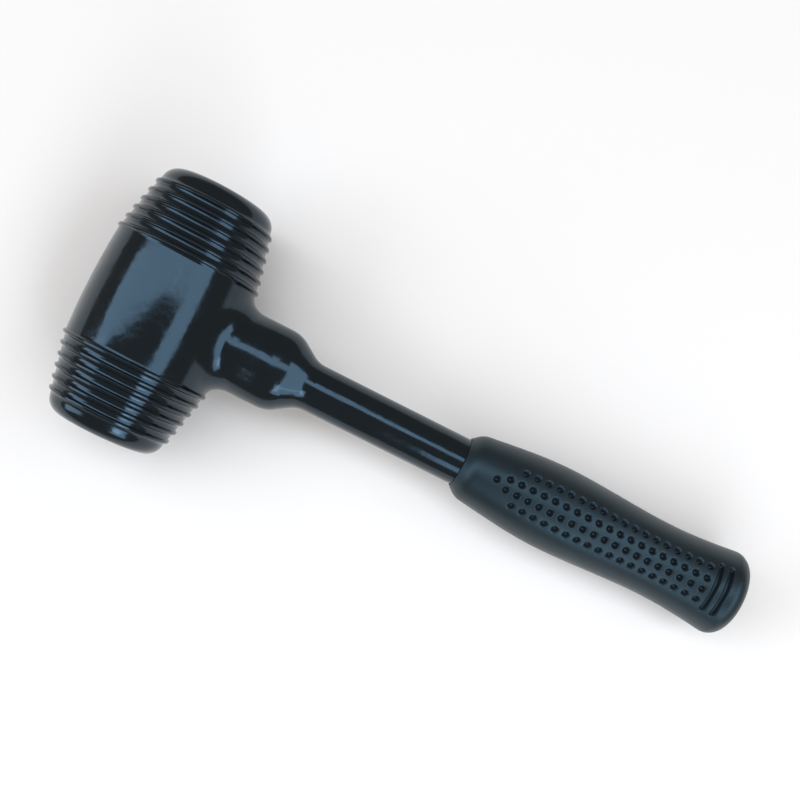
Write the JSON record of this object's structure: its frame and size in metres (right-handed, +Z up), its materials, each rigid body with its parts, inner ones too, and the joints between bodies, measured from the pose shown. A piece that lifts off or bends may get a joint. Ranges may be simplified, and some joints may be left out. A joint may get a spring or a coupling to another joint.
{
  "type": "dead-blow mallet",
  "caption": "Moulded plastic dead-blow mallet: ringed barrel head on a steel-cored handle with a dimpled grip, and loose steel shot that slides inside the head to damp rebound.",
  "frame": {"origin": "middle of the bottom of the bounding box, on the bench that the mallet lies on", "axes": "+X from the head to the end of the grip, +Y along the head from face to face, +Z up from the bench"},
  "size_m": [0.2994, 0.11, 0.0629],
  "materials": {
    "cover_plastic": "polished mould, black, mirror-like with faint waviness",
    "grip_plastic": "black, satin, fine-grained mould",
    "inner_steel": "plain drawn and turned steel, bare",
    "shot_steel": "smooth bare steel balls"
  },
  "bodies": {
    "mallet": {"head_cover": "cover_plastic", "grip_sleeve": "grip_plastic", "canister_tube": "inner_steel", "canister_cap_right": "inner_steel", "canister_cap_left": "inner_steel", "rod_socket": "inner_steel", "handle_rod": "inner_steel"},
    "shot_charge": {"shot_ball_01": "shot_steel", "shot_ball_02": "shot_steel", "shot_ball_03": "shot_steel", "shot_ball_04": "shot_steel", "shot_ball_05": "shot_steel", "shot_ball_06": "shot_steel", "shot_ball_07": "shot_steel", "shot_ball_08": "shot_steel", "shot_ball_09": "shot_steel", "shot_ball_10": "shot_steel", "shot_ball_11": "shot_steel", "shot_ball_12": "shot_steel", "shot_ball_13": "shot_steel", "shot_ball_14": "shot_steel", "shot_ball_15": "shot_steel", "shot_ball_16": "shot_steel", "shot_ball_17": "shot_steel", "shot_ball_18": "shot_steel", "shot_ball_19": "shot_steel", "shot_ball_20": "shot_steel", "shot_ball_21": "shot_steel", "shot_ball_22": "shot_steel", "shot_ball_23": "shot_steel", "shot_ball_24": "shot_steel", "shot_ball_25": "shot_steel", "shot_ball_26": "shot_steel", "shot_ball_27": "shot_steel", "shot_ball_28": "shot_steel", "shot_ball_29": "shot_steel", "shot_ball_30": "shot_steel", "shot_ball_31": "shot_steel", "shot_ball_32": "shot_steel", "shot_ball_33": "shot_steel", "shot_ball_34": "shot_steel", "shot_ball_35": "shot_steel"}
  },
  "joints": [
    {"name": "shot_slide", "type": "slide", "parent": "mallet", "child": "shot_charge", "axis": [0, 1, 0], "range_m": [-0.007, 0.007]}
  ]
}
